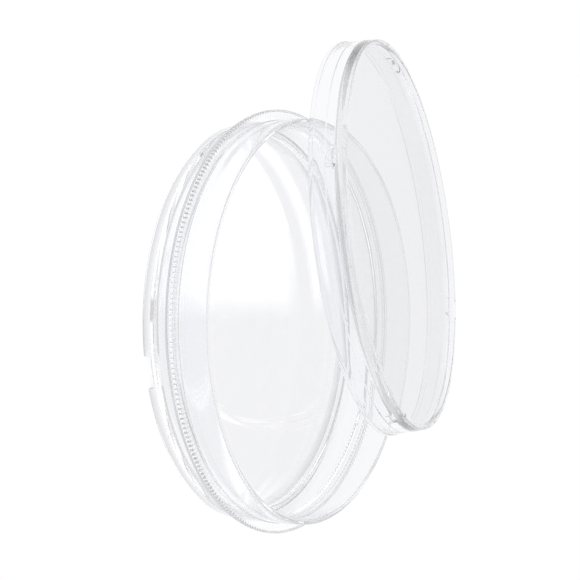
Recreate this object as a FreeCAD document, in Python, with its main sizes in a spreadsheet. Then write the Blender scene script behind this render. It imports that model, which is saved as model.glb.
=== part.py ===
import FreeCAD, Part
import math
import os
import re
import Sketcher

# A clear culture dish with a grip ring and its loose lid, in millimetres.
# Frame: origin on the dish's axis in the plane that the foot stands on, +Z up the axis.
# The lid lies open: its low edge stands beside the dish and its skirt leans on the dish's rim.

# ---------------------------------------------------------------- driving dimensions
DIMENSIONS = [
    # dish base, heights above the foot plane
    ("foot_diameter", 93.4, "outside of the stacking foot"),
    ("foot_height", 1.6, "foot below the floor plate"),
    ("floor_thickness", 1.1, "floor plate"),
    ("wall_thickness", 1.1, "side wall, foot and rim"),
    ("ring_bottom", 7.6, "underside of the grip ring"),
    ("ring_top", 9.8, "ledge on top of the grip ring"),
    ("ring_diameter", 99.0, "grip ring without its ribs"),
    ("wall_below_ring", 94.2, "outside of the wall where it meets the ring's underside"),
    ("wall_above_ring", 94.8, "outside of the wall where it leaves the ledge"),
    ("rim_diameter", 95.4, "outside of the rim"),
    ("rim_band", 3.0, "height of the straight band below the rim's top"),
    ("dish_height", 17.45, "top of the rim"),
    ("rib_count", 264, "grip ribs round the ring"),
    ("rib_radius", 0.5, "half-round grip rib"),
    ("rib_bottom", 8.8, "lower end of the ribs; the ring is smooth below"),
    ("notch_width", 7.5, "drain notch, along the foot"),
    ("notch_height", 1.45, "drain notch, up from the foot plane"),
    ("notch_azimuth", 284.0, "direction of the drain notch, degrees"),
    # lid, heights above its open edge
    ("lid_height", 9.2, "open edge to the top of the stacking rim"),
    ("lid_plate_top", 7.95, "recessed top face"),
    ("lid_plate_thickness", 1.6, "top plate"),
    ("lid_edge_diameter", 98.0, "bead round the open edge"),
    ("lid_bead_height", 1.1, "bead round the open edge"),
    ("lid_skirt_low", 97.6, "outside of the skirt just above the bead"),
    ("lid_skirt_high", 97.3, "outside of the skirt at the plate's underside"),
    ("lid_top_diameter", 96.7, "outside of the stacking rim's top"),
    ("lid_rim_width", 1.2, "stacking rim, measured radially"),
    ("lid_bore_low", 96.3, "inside of the skirt at the open edge"),
    ("lid_bore_high", 95.9, "inside of the skirt above its step"),
    ("lid_step_height", 4.2, "step inside the skirt"),
    ("lug_count", 4, "vent lugs under the plate"),
    ("lug_azimuth", 68.5, "direction of the first lug in the lid's own frame, degrees"),
    ("lug_length", 4.6, "along the skirt"),
    ("lug_depth", 1.8, "inwards from the skirt"),
    ("lug_height", 0.8, "vent gap that the lug sets"),
    ("lug_rib_width", 0.7, "upright rib beside the lug"),
    ("lug_rib_depth", 0.2, "upright rib, inwards from the skirt"),
    # how the lid lies beside the dish
    ("lid_azimuth", 118.0, "direction that the lid leans in, degrees"),
    ("lid_tilt", 14.2, "lean of the lid's axis, degrees"),
    ("lid_offset", 43.0, "dish axis to the centre of the lid's open edge"),
    ("lid_clearance", 0.04, "gap under the lid's low edge"),
    # edge rounding
    ("rim_rounding", 0.35, "both edges of the dish's rim"),
    ("floor_rounding", 1.6, "inside corner of floor and wall"),
    ("edge_rounding", 0.25, "other outer edges"),
]

doc = FreeCAD.newDocument("culture_dish")
sheet = doc.addObject("Spreadsheet::Sheet", "Sizes")
scratch = doc.addObject("Spreadsheet::Sheet", "Scratch")
for row, (alias, number, note) in enumerate(DIMENSIONS, start=1):
    sheet.set(f"A{row}", alias)
    sheet.set(f"B{row}", str(number))
    sheet.set(f"C{row}", note)
    sheet.setAlias(f"B{row}", alias)
doc.recompute()


ALIASES = {row[0] for row in DIMENSIONS}


def cells(text):
    """An expression in which every alias of the sheet carries the sheet's name."""
    return re.sub(r"[a-z_]+", lambda word: f"Sizes.{word[0]}" if word[0] in ALIASES else word[0], text)


def value(text):
    """The number that an expression of aliases gives, worked out in a spare sheet."""
    scratch.set("A1", "=" + cells(text))
    scratch.recompute()
    return float(scratch.get("A1"))


# ---------------------------------------------------------------- helpers
def origin_plane(body, role):
    """One of the body's own origin planes."""
    return next(item for item in body.Origin.OriginFeatures if item.Role == role)


def new_sketch(body, name, role, azimuth=0.0):
    """A sketch on an origin plane of the body, turned about the plane's normal."""
    sketch = body.newObject("Sketcher::SketchObject", name)
    sketch.AttachmentSupport = (origin_plane(body, role), [""])
    sketch.MapMode = "FlatFace"
    if azimuth:
        turn = FreeCAD.Rotation(FreeCAD.Vector(0, 0, 1), azimuth)
        sketch.AttachmentOffset = FreeCAD.Placement(FreeCAD.Vector(0, 0, 0), turn)
    return sketch


def bind_from_origin(sketch, geometry, point, kind, text):
    """Holds one coordinate of a point at the value of an expression."""
    index = sketch.addConstraint(Sketcher.Constraint(kind, -1, 1, geometry, point, value(text)))
    sketch.setExpression(f"Constraints[{index}]", cells(text))


def polygon(sketch, corners):
    """A closed outline whose corners are bound to expressions; "0" puts a corner on an axis."""
    points = [FreeCAD.Vector(value(across), value(up), 0) for across, up in corners]
    count = len(points)
    for index in range(count):
        sketch.addGeometry(Part.LineSegment(points[index], points[(index + 1) % count]), False)
    for index in range(count):
        following = (index + 1) % count
        sketch.addConstraint(Sketcher.Constraint("Coincident", index, 2, following, 1))
    for index, (across, up) in enumerate(corners):
        if across == "0":
            sketch.addConstraint(Sketcher.Constraint("PointOnObject", index, 1, -2))
        else:
            bind_from_origin(sketch, index, 1, "DistanceX", across)
        if up == "0":
            sketch.addConstraint(Sketcher.Constraint("PointOnObject", index, 1, -1))
        else:
            bind_from_origin(sketch, index, 1, "DistanceY", up)


def revolve(body, name, corners):
    """Turns a half profile, given as radius and height, about the body's Z axis."""
    sketch = new_sketch(body, name + "_profile", "XZ_Plane")
    polygon(sketch, corners)
    feature = body.newObject("PartDesign::Revolution", name)
    feature.Profile = sketch
    feature.ReferenceAxis = (sketch, ["V_Axis"])
    feature.Angle = 360.0
    doc.recompute()
    return feature


def polar(body, name, feature, count_alias):
    """Repeats a feature evenly about the body's Z axis."""
    pattern = body.newObject("PartDesign::PolarPattern", name)
    pattern.Originals = [feature]
    pattern.Axis = (next(item for item in body.Origin.OriginFeatures if item.Role == "Z_Axis"), [""])
    pattern.Angle = 360.0
    pattern.setExpression("Occurrences", cells(count_alias))
    body.Tip = pattern
    doc.recompute()
    return pattern


def round_circles(body, name, radius_alias, circles):
    """Rounds the full circular edges that have the given radii and heights."""
    tip = body.Tip
    names = []
    for index, edge in enumerate(tip.Shape.Edges, start=1):
        if not isinstance(edge.Curve, Part.Circle):
            continue
        for radius, height in circles:
            same_radius = abs(edge.Curve.Radius - value(radius)) < 1e-4
            same_height = abs(edge.Curve.Center.z - value(height)) < 1e-4
            if same_radius and same_height:
                names.append(f"Edge{index}")
    fillet = body.newObject("PartDesign::Fillet", name)
    fillet.Base = (tip, names)
    fillet.setExpression("Radius", cells(radius_alias))
    body.Tip = fillet
    doc.recompute()
    return fillet


def block(body, name, role_azimuth, across, along, height, subtract=False):
    """A pad or pocket with a rectangular outline, from the XY plane's offset height upwards."""
    inner, outer = across
    low, high = height
    sketch = new_sketch(body, name + "_outline", "XY_Plane", role_azimuth)
    start, end = along
    polygon(sketch, [(inner, start), (outer, start), (outer, end), (inner, end)])
    if low != "0":
        sketch.setExpression("AttachmentOffset.Base.z", cells(low))
    kind = "PartDesign::Pocket" if subtract else "PartDesign::Pad"
    feature = body.newObject(kind, name)
    feature.Profile = sketch
    feature.setExpression("Length", cells(f"{high} - ({low})"))
    feature.Reversed = subtract
    body.Tip = feature
    doc.recompute()
    return feature


# ---------------------------------------------------------------- dish base
def make_dish_base():
    body = doc.addObject("PartDesign::Body", "dish_base")
    body.Label = "dish_base"
    floor_top = "foot_height + floor_thickness"
    revolve(body, "dish_shell", [
        ("foot_diameter / 2 - wall_thickness", "0"),
        ("foot_diameter / 2", "0"),
        ("foot_diameter / 2", "foot_height"),
        ("wall_below_ring / 2", "ring_bottom"),
        ("ring_diameter / 2", "ring_bottom"),
        ("ring_diameter / 2", "ring_top"),
        ("wall_above_ring / 2", "ring_top"),
        ("rim_diameter / 2", "dish_height - rim_band"),
        ("rim_diameter / 2", "dish_height"),
        ("rim_diameter / 2 - wall_thickness", "dish_height"),
        ("wall_above_ring / 2 - wall_thickness", "ring_top"),
        ("foot_diameter / 2 - wall_thickness", floor_top),
        ("0", floor_top),
        ("0", "foot_height"),
        ("foot_diameter / 2 - wall_thickness", "foot_height"),
    ])
    round_circles(body, "rim_edges", "rim_rounding", [
        ("rim_diameter / 2", "dish_height"),
        ("rim_diameter / 2 - wall_thickness", "dish_height"),
    ])
    round_circles(body, "floor_corner", "floor_rounding", [
        ("foot_diameter / 2 - wall_thickness", floor_top),
    ])
    whole = body.Shape.Volume
    block(
        body, "drain_notch", value("notch_azimuth"),
        ("foot_diameter / 2 - wall_thickness * 2", "foot_diameter / 2 + wall_thickness"),
        ("0 - notch_width / 2", "notch_width / 2"),
        ("0", "notch_height"), subtract=True,
    )
    removed = whole - body.Shape.Volume
    expected = value("notch_width * notch_height * wall_thickness")
    print(f"the drain notch removed {removed:.2f} mm3, expected about {expected:.2f}")
    if not 0.9 * expected < removed < 1.1 * expected:
        raise SystemExit("the drain notch cut the wrong volume")
    make_ribs(body)
    return body


def make_ribs(body):
    """Half-round ribs on the upper part of the grip ring's outer face."""
    sketch = new_sketch(body, "grip_rib_outline", "XY_Plane")
    centre = FreeCAD.Vector(value("ring_diameter") / 2, 0, 0)
    sketch.addGeometry(Part.Circle(centre, FreeCAD.Vector(0, 0, 1), value("rib_radius")), False)
    sketch.addConstraint(Sketcher.Constraint("PointOnObject", 0, 3, -1))
    bind_from_origin(sketch, 0, 3, "DistanceX", "ring_diameter / 2")
    index = sketch.addConstraint(Sketcher.Constraint("Radius", 0, value("rib_radius")))
    sketch.setExpression(f"Constraints[{index}]", cells("rib_radius"))
    sketch.setExpression("AttachmentOffset.Base.z", cells("rib_bottom"))
    rib = body.newObject("PartDesign::Pad", "grip_rib")
    rib.Profile = sketch
    rib.setExpression("Length", cells("ring_top - rib_bottom"))
    body.Tip = rib
    doc.recompute()
    polar(body, "grip_ribs", rib, "rib_count")


# ---------------------------------------------------------------- lid
def make_lid():
    body = doc.addObject("PartDesign::Body", "lid")
    body.Label = "lid"
    underside = "lid_plate_top - lid_plate_thickness"
    revolve(body, "lid_shell", [
        ("lid_bore_low / 2", "0"),
        ("lid_edge_diameter / 2", "0"),
        ("lid_edge_diameter / 2", "lid_bead_height"),
        ("lid_skirt_low / 2", "lid_bead_height"),
        ("lid_skirt_high / 2", underside),
        ("lid_top_diameter / 2", "lid_height"),
        ("lid_top_diameter / 2 - lid_rim_width", "lid_height"),
        ("lid_top_diameter / 2 - lid_rim_width", "lid_plate_top"),
        ("0", "lid_plate_top"),
        ("0", underside),
        ("lid_bore_high / 2", underside),
        ("lid_bore_high / 2", "lid_step_height"),
        ("lid_bore_low / 2", "lid_step_height - lid_bead_height / 4"),
    ])
    round_circles(body, "lid_edges", "edge_rounding", [
        ("lid_edge_diameter / 2", "0"),
        ("lid_top_diameter / 2", "lid_height"),
        ("lid_top_diameter / 2 - lid_rim_width", "lid_height"),
    ])
    # Each lug is an L: a pad under the plate that rests on the dish's rim, and an upright rib.
    pad = block(
        body, "vent_lug", value("lug_azimuth"),
        ("lid_bore_high / 2 - lug_depth", "lid_bore_high / 2 + lug_rib_depth"),
        ("0 - lug_length / 2", "lug_length / 2"),
        (f"{underside} - lug_height", "lid_plate_top - lid_plate_thickness / 2"),
    )
    polar(body, "vent_lugs", pad, "lug_count")
    rib = block(
        body, "lug_rib", value("lug_azimuth"),
        ("lid_bore_high / 2 - lug_rib_depth", "lid_bore_high / 2 + lug_rib_depth"),
        ("lug_length / 2", "lug_length / 2 + lug_rib_width"),
        ("lid_step_height", "lid_plate_top - lid_plate_thickness / 2"),
    )
    polar(body, "lug_ribs", rib, "lug_count")
    lean_lid(body)
    return body


def lean_lid(body):
    """Tips the lid towards its azimuth, with its low edge just above the foot plane."""
    azimuth = math.radians(value("lid_azimuth"))
    hinge_line = FreeCAD.Vector(-math.sin(azimuth), math.cos(azimuth), 0)
    body.Placement = FreeCAD.Placement(
        FreeCAD.Vector(0, 0, 0), FreeCAD.Rotation(hinge_line, value("lid_tilt"))
    )
    body.setExpression("Placement.Rotation.Angle", cells("lid_tilt"))
    body.setExpression("Placement.Base.x", cells("lid_offset * cos(lid_azimuth * 1 deg)"))
    body.setExpression("Placement.Base.y", cells("lid_offset * sin(lid_azimuth * 1 deg)"))
    body.setExpression(
        "Placement.Base.z",
        cells("lid_edge_diameter / 2 * sin(lid_tilt * 1 deg) + lid_clearance"),
    )
    doc.recompute()


# ---------------------------------------------------------------- build, check, export
def check_document():
    for item in doc.Objects:
        if "Invalid" in item.State or "Error" in item.State:
            raise SystemExit(f"{item.Name} failed: {item.State}")


def check_shape(body):
    shape = body.Shape
    if shape.isNull() or not shape.isValid() or len(shape.Solids) != 1:
        raise SystemExit(f"{body.Label} is not one valid solid")
    print(f"{body.Label}: {shape.Volume / 1000:.2f} cm3, {len(shape.Faces)} faces, {shape.BoundBox}")


dish_base = make_dish_base()
lid = make_lid()
doc.recompute()
check_document()
sub_parts = [dish_base, lid]
for sub_part in sub_parts:
    check_shape(sub_part)
os.makedirs("parts", exist_ok=True)
for sub_part in sub_parts:
    sub_part.Shape.exportStep(f"parts/{sub_part.Label}.step")
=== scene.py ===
"""A clear polystyrene culture dish and its loose lid, on a white studio table.

The two mouldings are turned from half profiles whose sizes, in millimetres, follow the CAD part. The studio
and the camera are laid out in metres.
"""
import math

import bmesh
import bpy
import numpy as np
from mathutils import Matrix, Vector


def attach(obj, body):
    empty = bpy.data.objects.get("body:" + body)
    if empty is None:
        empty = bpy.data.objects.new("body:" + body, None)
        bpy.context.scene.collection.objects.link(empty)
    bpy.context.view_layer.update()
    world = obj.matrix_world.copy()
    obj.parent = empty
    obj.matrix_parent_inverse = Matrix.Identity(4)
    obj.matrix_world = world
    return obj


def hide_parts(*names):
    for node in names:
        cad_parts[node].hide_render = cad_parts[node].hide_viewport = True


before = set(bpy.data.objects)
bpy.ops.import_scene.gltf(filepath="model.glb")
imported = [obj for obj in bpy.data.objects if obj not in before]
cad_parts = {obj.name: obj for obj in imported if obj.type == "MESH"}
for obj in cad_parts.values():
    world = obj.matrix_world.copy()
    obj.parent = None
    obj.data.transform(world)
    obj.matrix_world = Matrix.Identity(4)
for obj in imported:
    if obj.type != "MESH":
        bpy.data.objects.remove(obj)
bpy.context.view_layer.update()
MM = 0.001

# ---------------------------------------------------------------- sizes, in millimetres and degrees
# The meshes are a hair smaller than the CAD solids, so that nothing passes their outline.
SKIN = 0.9998

# How finely the meshes are cut: facets of a rib and of a rounded corner, the longest run left whole,
# and the angle past which an edge is shaded sharp.
RIB_FACETS = 8
ARC_STEPS = 7
LONGEST_RUN = 2.0
SHARP_ANGLE = 38.0
# A profile point this far ahead of a step keeps the step steep.
STEP_LEAD = 0.04
# Margins that pick out the profile points of the ribs, the foot and the lugs.
RIB_MARGIN = 0.2
FOOT_MARGIN = 0.1
LUG_MARGIN = 0.3

WALL = 1.1
FOOT_RADIUS = 46.7
FOOT_HEIGHT = 1.6
FLOOR_TOP = 2.7
RING_RADIUS = 49.5
RING_BOTTOM = 7.6
RING_TOP = 9.8
RIB_COUNT = 264
RIB_RADIUS = 0.5
RIB_BOTTOM = 8.8
WALL_BELOW_RING = 47.1
WALL_ABOVE_RING = 47.4
RIM_RADIUS = 47.7
RIM_BAND = 3.0
DISH_HEIGHT = 17.45
NOTCH_WIDTH = 7.5
NOTCH_HEIGHT = 1.45
NOTCH_AZIMUTH = 284.0

LID_HEIGHT = 9.2
PLATE_TOP = 7.95
PLATE_BOTTOM = 6.35
LID_EDGE_RADIUS = 49.0
SKIRT_RADIUS_LOW = 48.8
SKIRT_RADIUS_HIGH = 48.65
LID_TOP_RADIUS = 48.35
LID_RIM_WIDTH = 1.2
BEAD_HEIGHT = 1.1
BORE_LOW = 48.15
BORE_HIGH = 47.95
STEP_HEIGHT = 4.2
STEP_SLOPE = 0.275
LUG_COUNT = 4
LUG_AZIMUTH = 68.5
LUG_LENGTH = 4.6
LUG_DEPTH = 1.8
LUG_HEIGHT = 0.8
LUG_RIB_WIDTH = 0.7
LUG_RIB_DEPTH = 0.2

LID_AZIMUTH = 118.0
LID_TILT = 14.2
LID_OFFSET = 43.0
LID_CLEARANCE = 0.04

# The larger roundings.
FOOT_BLEND = 2.0
WALL_BEND = 8.0
FLOOR_CORNER = 1.6
SKIRT_BEND = 6.0
RIM_ROUNDING = 0.35
LID_ROUNDING = 0.25

# Corners of the half profiles, (radius, height, rounding); a rounding of nought is a sharp corner. The
# dish's run from the inside of the foot round the outside and over the rim to the axis. The lid's run
# from its open edge round the outside.
DISH_CORNERS = [
    (FOOT_RADIUS - WALL, 0.0, 0.15),
    (FOOT_RADIUS, 0.0, 0.12),
    (FOOT_RADIUS, FOOT_HEIGHT, FOOT_BLEND),
    (WALL_BELOW_RING, RING_BOTTOM, 0.25),
    (RING_RADIUS, RING_BOTTOM, 0.15),
    (RING_RADIUS, RIB_BOTTOM - STEP_LEAD, 0.0),
    (RING_RADIUS, RIB_BOTTOM, 0.0),
    (RING_RADIUS, RING_TOP, 0.12),
    (WALL_ABOVE_RING, RING_TOP, 0.25),
    (RIM_RADIUS, DISH_HEIGHT - RIM_BAND, 0.0),
    (RIM_RADIUS, DISH_HEIGHT, RIM_ROUNDING),
    (RIM_RADIUS - WALL, DISH_HEIGHT, RIM_ROUNDING),
    (WALL_ABOVE_RING - WALL, RING_TOP, WALL_BEND),
    (FOOT_RADIUS - WALL, FLOOR_TOP, FLOOR_CORNER),
    (0.0, FLOOR_TOP, 0.0),
    (0.0, FOOT_HEIGHT, 0.0),
    (FOOT_RADIUS - WALL, FOOT_HEIGHT, 0.2),
]

LID_CORNERS = [
    (BORE_LOW, 0.0, 0.15),
    (LID_EDGE_RADIUS, 0.0, LID_ROUNDING),
    (LID_EDGE_RADIUS, BEAD_HEIGHT, 0.08),
    (SKIRT_RADIUS_LOW, BEAD_HEIGHT, 0.08),
    (SKIRT_RADIUS_HIGH, PLATE_BOTTOM, SKIRT_BEND),
    (LID_TOP_RADIUS, LID_HEIGHT, LID_ROUNDING),
    (LID_TOP_RADIUS - LID_RIM_WIDTH, LID_HEIGHT, LID_ROUNDING),
    (LID_TOP_RADIUS - LID_RIM_WIDTH, PLATE_TOP, 0.1),
    (0.0, PLATE_TOP, 0.0),
    (0.0, PLATE_BOTTOM, 0.0),
    (BORE_HIGH - LUG_DEPTH - STEP_LEAD, PLATE_BOTTOM, 0.0),
    (BORE_HIGH - LUG_DEPTH, PLATE_BOTTOM, 0.0),
    (BORE_HIGH, PLATE_BOTTOM, 0.2),
    (BORE_HIGH, STEP_HEIGHT, 0.1),
    (BORE_LOW, STEP_HEIGHT - STEP_SLOPE, 0.1),
]


# ---------------------------------------------------------------- turned meshes
def rib_azimuths():
    """Azimuth columns, in radians: some across each rib's half circle and one in the valley beside it."""
    pitch = 2 * math.pi / RIB_COUNT
    across = np.sin(np.linspace(-math.pi / 2, math.pi / 2, RIB_FACETS + 1)) * RIB_RADIUS / RING_RADIUS
    columns = np.append(across, pitch / 2)
    return (np.arange(RIB_COUNT)[:, None] * pitch + columns).ravel()


AZIMUTHS = rib_azimuths()


def rounded_profile(corners):
    """The closed half profile as an array of (radius, height), with an arc at each rounded corner."""
    points = []
    count = len(corners)
    for index, (radius, height, rounding) in enumerate(corners):
        here = Vector((radius, height))
        if rounding == 0.0:
            points.append(here)
            continue
        before = Vector(corners[index - 1][:2]) - here
        after = Vector(corners[(index + 1) % count][:2]) - here
        half_angle = before.angle(after) / 2
        setback = rounding / math.tan(half_angle)
        start = here + before.normalized() * setback
        end = here + after.normalized() * setback
        centre = here + (before.normalized() + after.normalized()).normalized() * (
            rounding / math.sin(half_angle)
        )
        for step in range(ARC_STEPS + 1):
            blend = start.lerp(end, step / ARC_STEPS) - centre
            points.append(centre + blend.normalized() * rounding)
    return np.array([tuple(point) for point in points])


def subdivided(profile):
    """The profile with extra points on its long runs, so that its faces stay short."""
    points = []
    for index in range(len(profile)):
        start, end = profile[index], profile[(index + 1) % len(profile)]
        on_axis = start[0] == 0.0 and end[0] == 0.0
        cuts = 1 if on_axis else max(1, math.ceil(np.linalg.norm(end - start) / LONGEST_RUN))
        for cut in range(cuts):
            points.append(start + (end - start) * cut / cuts)
    return np.array(points)


def turned_mesh(name, radii, heights):
    """A closed mesh from radii and heights, each an array of profile points by azimuth columns."""
    rows, columns = radii.shape
    vertices = np.stack([radii * np.cos(AZIMUTHS), radii * np.sin(AZIMUTHS), heights], axis=-1) * MM
    poles = [row for row in range(rows) if radii[row].max() == 0.0]
    vertices = vertices.reshape(-1, 3)
    mesh = bpy.data.meshes.new(name)
    following = np.roll(np.arange(columns), -1)
    faces = []
    for row in range(rows):
        upper = (row + 1) % rows
        here, there = row * columns, upper * columns
        if row in poles and upper in poles:
            continue
        if upper in poles:
            faces += [(here + a, here + b, there) for a, b in enumerate(following)]
        elif row in poles:
            faces += [(here, there + b, there + a) for a, b in enumerate(following)]
        else:
            faces += [(here + a, here + b, there + b, there + a) for a, b in enumerate(following)]
    mesh.from_pydata(vertices.tolist(), [], faces)
    mesh.validate()
    drop_loose(mesh)
    mesh.shade_smooth()
    mesh.set_sharp_from_angle(angle=math.radians(SHARP_ANGLE))
    piece = bpy.data.objects.new(name, mesh)
    bpy.context.scene.collection.objects.link(piece)
    return piece


def drop_loose(mesh):
    """Removes the unused copies of each pole's vertex."""
    work = bmesh.new()
    work.from_mesh(mesh)
    bmesh.ops.delete(work, geom=[v for v in work.verts if not v.link_faces], context="VERTS")
    bmesh.ops.recalc_face_normals(work, faces=work.faces)
    work.to_mesh(mesh)
    work.free()


def along_circle(centre_deg, radius):
    """Each azimuth column's distance along a circle from an azimuth, in millimetres."""
    away = (np.degrees(AZIMUTHS) - centre_deg + 180.0) % 360.0 - 180.0
    return np.radians(away) * radius


def profile_grid(corners):
    """Radii and heights of a turned shape, profile points by azimuth columns."""
    profile = subdivided(rounded_profile(corners))
    radii = np.repeat(profile[:, :1], len(AZIMUTHS), axis=1)
    heights = np.repeat(profile[:, 1:], len(AZIMUTHS), axis=1)
    return radii, heights


def dish_grid():
    """The dish: its ring swells out with the ribs, and the foot is squeezed up at the notch."""
    radii, heights = profile_grid(DISH_CORNERS)
    profile_radius, profile_height = radii[:, 0], heights[:, 0]

    pitch = 2 * math.pi / RIB_COUNT
    from_rib = ((AZIMUTHS + pitch / 2) % pitch - pitch / 2) * RING_RADIUS
    swell = np.sqrt(np.clip(RIB_RADIUS ** 2 - from_rib ** 2, 0.0, None))
    ribbed = (profile_radius > RING_RADIUS - RIB_MARGIN) & (profile_height >= RIB_BOTTOM)
    radii = np.where(ribbed[:, None], radii + swell, radii)

    in_foot = (profile_height < FOOT_HEIGHT) & (profile_radius > FOOT_RADIUS - WALL - FOOT_MARGIN)
    in_notch = np.abs(along_circle(NOTCH_AZIMUTH, FOOT_RADIUS)) <= NOTCH_WIDTH / 2
    squeezed = NOTCH_HEIGHT + heights * (FOOT_HEIGHT - NOTCH_HEIGHT) / FOOT_HEIGHT
    heights = np.where(np.outer(in_foot, in_notch), squeezed, heights)
    return radii, heights


def lid_grid():
    """The lid: the plate's underside drops at each lug, and the bore closes in at the rib beside it."""
    radii, heights = profile_grid(LID_CORNERS)
    profile_radius, profile_height = radii[:, 0], heights[:, 0]
    hollow = (profile_radius < BORE_LOW) & (profile_height <= PLATE_BOTTOM)
    by_plate = profile_height > PLATE_BOTTOM - LUG_MARGIN
    under_lug = hollow & by_plate & (profile_radius >= BORE_HIGH - LUG_DEPTH)
    on_bore = hollow & (profile_radius > BORE_HIGH - LUG_MARGIN) & (profile_height > STEP_HEIGHT)
    for number in range(LUG_COUNT):
        along = along_circle(LUG_AZIMUTH + number * 360.0 / LUG_COUNT, BORE_HIGH)
        pad = np.abs(along) <= LUG_LENGTH / 2
        heights = heights - np.outer(under_lug, pad) * LUG_HEIGHT
        rib = (along > LUG_LENGTH / 2) & (along <= LUG_LENGTH / 2 + LUG_RIB_WIDTH)
        radii = radii - np.outer(on_bore, rib) * LUG_RIB_DEPTH
    return radii, heights


def lid_place():
    """The matrix that lays the lid down beside the dish, on its low edge."""
    azimuth, tilt = math.radians(LID_AZIMUTH), math.radians(LID_TILT)
    place = Vector((
        LID_OFFSET * math.cos(azimuth),
        LID_OFFSET * math.sin(azimuth),
        LID_EDGE_RADIUS * math.sin(tilt) + LID_CLEARANCE,
    )) * MM
    tip = Matrix.Rotation(tilt, 4, Vector((-math.sin(azimuth), math.cos(azimuth), 0.0)))
    return Matrix.Translation(place) @ tip @ Matrix.Scale(SKIN, 4)


# ---------------------------------------------------------------- node helpers
def node(tree, kind, **values):
    """A new node with its sockets, by name or number, set to values or linked to other sockets."""
    made = tree.nodes.new(kind)
    for key, item in values.items():
        socket = made.inputs[int(key[1:])] if key[0] == "_" else made.inputs[key.replace("_", " ")]
        if isinstance(item, bpy.types.NodeSocket):
            tree.links.new(item, socket)
        else:
            socket.default_value = item
    return made


def between(tree, socket, start, end, low=0.0, high=1.0):
    """A smooth step from low to high as a socket goes from start to end."""
    step = node(
        tree, "ShaderNodeMapRange",
        Value=socket, From_Min=start, From_Max=end, To_Min=low, To_Max=high,
    )
    step.interpolation_type = "SMOOTHSTEP"
    return step.outputs["Result"]


def combine(tree, operation, first, second):
    """The result of a Math node on two sockets or numbers."""
    made = node(tree, "ShaderNodeMath", _0=first, _1=second)
    made.operation = operation
    return made.outputs[0]


# ---------------------------------------------------------------- material
PLASTIC_IOR = 1.59
PLASTIC_TINT = (0.955, 0.957, 0.974, 1.0)
PLASTIC_DEPTH_COLOUR = (0.34, 0.34, 0.37, 1.0)
PLASTIC_DENSITY = 1.8
# Slow waves left by the mould, and sparse hairline marks from handling that are slightly rough.
WAVE_SCALE = 85.0
WAVE_DEPTH = 0.000005
HAIRLINE_SCALE = 150.0
HAIRLINE_WIDTH = 0.008
HAIRLINE_DEPTH = 0.0000015
HAIRLINE_ROUGHNESS = 0.08
# The hairlines fade in where a slow noise passes between these values.
WORN = (0.55, 0.65)


def clear_plastic(name):
    """Clear moulded polystyrene with slow flow waves and sparse hairline marks."""
    material = bpy.data.materials.new(name)
    material.use_nodes = True
    tree = material.node_tree
    shader = tree.nodes["Principled BSDF"]
    shader.inputs["Base Color"].default_value = PLASTIC_TINT
    shader.inputs["Transmission Weight"].default_value = 1.0
    shader.inputs["IOR"].default_value = PLASTIC_IOR

    place = node(tree, "ShaderNodeTexCoord").outputs["Object"]
    waves = node(tree, "ShaderNodeTexNoise", Vector=place, Scale=WAVE_SCALE, Detail=0.0).outputs
    threads = node(tree, "ShaderNodeTexNoise", Vector=place, Scale=HAIRLINE_SCALE, Detail=0.0).outputs[0]
    off_line = combine(tree, "ABSOLUTE", combine(tree, "SUBTRACT", threads, 0.5), 0.0)
    hairline = between(tree, off_line, HAIRLINE_WIDTH, 0.0)
    worn = node(tree, "ShaderNodeSeparateXYZ", Vector=waves["Color"]).outputs["Y"]
    marks = combine(tree, "MULTIPLY", hairline, between(tree, worn, *WORN))
    tree.links.new(combine(tree, "MULTIPLY", marks, HAIRLINE_ROUGHNESS), shader.inputs["Roughness"])

    swell = combine(tree, "MULTIPLY", waves[0], WAVE_DEPTH)
    relief = combine(tree, "SUBTRACT", swell, combine(tree, "MULTIPLY", marks, HAIRLINE_DEPTH))
    bump = node(tree, "ShaderNodeBump", Strength=1.0, Distance=1.0, Height=relief)
    tree.links.new(bump.outputs[0], shader.inputs["Normal"])

    absorb = node(tree, "ShaderNodeVolumeAbsorption", Color=PLASTIC_DEPTH_COLOUR, Density=PLASTIC_DENSITY)
    tree.links.new(absorb.outputs["Volume"], tree.nodes["Material Output"].inputs["Volume"])
    return material


# ---------------------------------------------------------------- studio
TABLE_REACH = 30.0
TABLE_DROP = 0.0001
# The table's glow carries a painted contact shadow: it rises from shaded to open as the openness above it,
# within the reach, goes from crowded to clear.
CONTACT_REACH = 0.003
CONTACT_SAMPLES = 16
CROWDED, CLEAR = 0.05, 0.3
SHADED, OPEN = 0.60, 1.004

# Brightness of the studio by height: the table's far edge, the walls, and the ceiling.
HORIZON, WALLS, CEILING = 0.77, 0.70, 0.6
WALL_STOPS = ((0.14, HORIZON), (0.22, WALLS), (0.52, WALLS), (0.7, CEILING))
# Grey screens stand round the sides and the front, between these heights.
SCREEN_FROM_BACK = (0.78, 0.50)
SCREEN_HEIGHTS = (0.05, 0.09, 0.34, 0.46)
SCREEN_TONE = 0.28
# Two large soft lamps hang at the back, with a narrow gap between them.
LAMP = 1.1
LAMP_TO_BACK = (0.2, 0.5)
LAMP_GAP = (-0.004, 0.010, 0.07, 0.10)
LAMP_HEIGHTS = (0.492, 0.498, 0.70, 0.82)


def band(tree, socket, rise_start, rise_end, fall_start, fall_end):
    """One between a rise and a fall of a socket, and nought outside them."""
    rise = between(tree, socket, rise_start, rise_end)
    fall = between(tree, socket, fall_start, fall_end, 1.0, 0.0)
    return combine(tree, "MULTIPLY", rise, fall)


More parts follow.
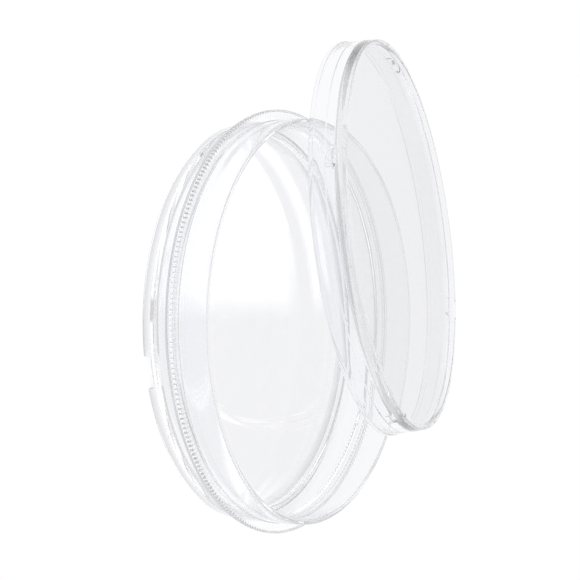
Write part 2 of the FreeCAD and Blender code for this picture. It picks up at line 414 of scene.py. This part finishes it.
def table():
    """A plain white table that glows, with a painted contact shadow where something stands close above it.
    """
    mesh = bpy.data.meshes.new("table_top")
    corners = [(-TABLE_REACH, -TABLE_REACH, 0), (TABLE_REACH, -TABLE_REACH, 0)]
    corners += [(TABLE_REACH, TABLE_REACH, 0), (-TABLE_REACH, TABLE_REACH, 0)]
    mesh.from_pydata(corners, [], [(0, 1, 2, 3)])
    top = bpy.data.objects.new("table_top", mesh)
    bpy.context.scene.collection.objects.link(top)
    top.location.z = -TABLE_DROP
    white = bpy.data.materials.new("white_table_painted_contact_shadow")
    white.use_nodes = True
    tree = white.node_tree
    tree.nodes.clear()
    # Painted contact shadow: the table's glow is dimmed where something stands close above it.
    openness = node(tree, "ShaderNodeAmbientOcclusion", Distance=CONTACT_REACH)
    openness.samples = CONTACT_SAMPLES
    glow_with_painted_shadow = between(tree, openness.outputs["AO"], CROWDED, CLEAR, SHADED, OPEN)
    glow = node(tree, "ShaderNodeEmission", Strength=glow_with_painted_shadow)
    node(tree, "ShaderNodeOutputMaterial", Surface=glow.outputs[0])
    mesh.materials.append(white)


def sky():
    """The studio round the dish: pale walls, a dimmer ceiling, grey screens and two soft lamps."""
    world = bpy.data.worlds.new("studio")
    bpy.context.scene.world = world
    world.use_nodes = True
    tree = world.node_tree
    tree.nodes.clear()
    place = node(tree, "ShaderNodeTexCoord")
    way = node(tree, "ShaderNodeSeparateXYZ", Vector=place.outputs["Generated"]).outputs
    walls = node(tree, "ShaderNodeValToRGB", Fac=way["Z"])
    walls.color_ramp.interpolation = "EASE"
    walls.color_ramp.elements[0].color = (*[HORIZON] * 3, 1.0)
    walls.color_ramp.elements[1].color = (*[CEILING] * 3, 1.0)
    for height, tone in WALL_STOPS:
        walls.color_ramp.elements.new(height).color = (*[tone] * 3, 1.0)

    round_front = between(tree, way["Y"], *SCREEN_FROM_BACK)
    screen = combine(tree, "MULTIPLY", round_front, band(tree, way["Z"], *SCREEN_HEIGHTS))
    screened = combine(tree, "SUBTRACT", 1.0, combine(tree, "MULTIPLY", screen, 1.0 - SCREEN_TONE))
    beside_gap = combine(tree, "SUBTRACT", 1.0, band(tree, way["X"], *LAMP_GAP))
    lamp = combine(tree, "MULTIPLY", beside_gap, between(tree, way["Y"], *LAMP_TO_BACK, 0.0, LAMP))
    lamp = combine(tree, "MULTIPLY", lamp, band(tree, way["Z"], *LAMP_HEIGHTS))
    total = combine(tree, "ADD", combine(tree, "MULTIPLY", walls.outputs["Color"], screened), lamp)
    background = node(tree, "ShaderNodeBackground", Strength=total)
    background.inputs["Color"].default_value = (1.0, 1.0, 1.0, 1.0)
    node(tree, "ShaderNodeOutputWorld", Surface=background.outputs[0])


# ---------------------------------------------------------------- camera
VIEW_AZIMUTH = 0.1
VIEW_ELEVATION = 29.73
VIEW_ROLL = 90.0
VIEW_DISTANCE = 0.69
AIM = (-0.00744, 0.01357, 0.00358)
LENS = 177.3
SENSOR = 36.0
CLIP_START, CLIP_END = 0.01, 100.0


def make_camera():
    """A long-lens camera that looks down at the dish from the front, turned on its side."""
    data = bpy.data.cameras.new("camera")
    data.lens = LENS
    data.sensor_width = SENSOR
    data.clip_start, data.clip_end = CLIP_START, CLIP_END
    camera = bpy.data.objects.new("camera", data)
    bpy.context.scene.collection.objects.link(camera)
    a, e = math.radians(VIEW_AZIMUTH), math.radians(VIEW_ELEVATION)
    back = Vector((math.sin(a) * math.cos(e), -math.cos(a) * math.cos(e), math.sin(e)))
    upright = (-back).to_track_quat("-Z", "Y").to_matrix().to_4x4()
    camera.matrix_world = (
        Matrix.Translation(Vector(AIM) + back * VIEW_DISTANCE)
        @ upright
        @ Matrix.Rotation(math.radians(VIEW_ROLL), 4, "Z")
    )
    bpy.context.scene.camera = camera


# ---------------------------------------------------------------- build
# Light that enters a plate's edge is reflected inside it many times before it leaves at the far side.
LIGHT_GUIDE_BOUNCES = 160

make_camera()
dish = turned_mesh("culture_dish", *dish_grid())
dish.data.transform(Matrix.Scale(SKIN, 4))
dish.data.materials.append(clear_plastic("clear_polystyrene_base"))
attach(dish, "base")
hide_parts("dish_base")

lid = turned_mesh("culture_dish_lid", *lid_grid())
lid.data.transform(lid_place())
lid.data.materials.append(clear_plastic("clear_polystyrene_lid"))
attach(lid, "lid")
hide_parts("lid")

table()
sky()

scene = bpy.context.scene
scene.view_settings.view_transform = "Standard"
scene.cycles.max_bounces = LIGHT_GUIDE_BOUNCES
scene.cycles.transmission_bounces = LIGHT_GUIDE_BOUNCES
scene.cycles.glossy_bounces = LIGHT_GUIDE_BOUNCES
scene.cycles.caustics_refractive = True
scene.cycles.caustics_reflective = True
scene.cycles.blur_glossy = 0.0
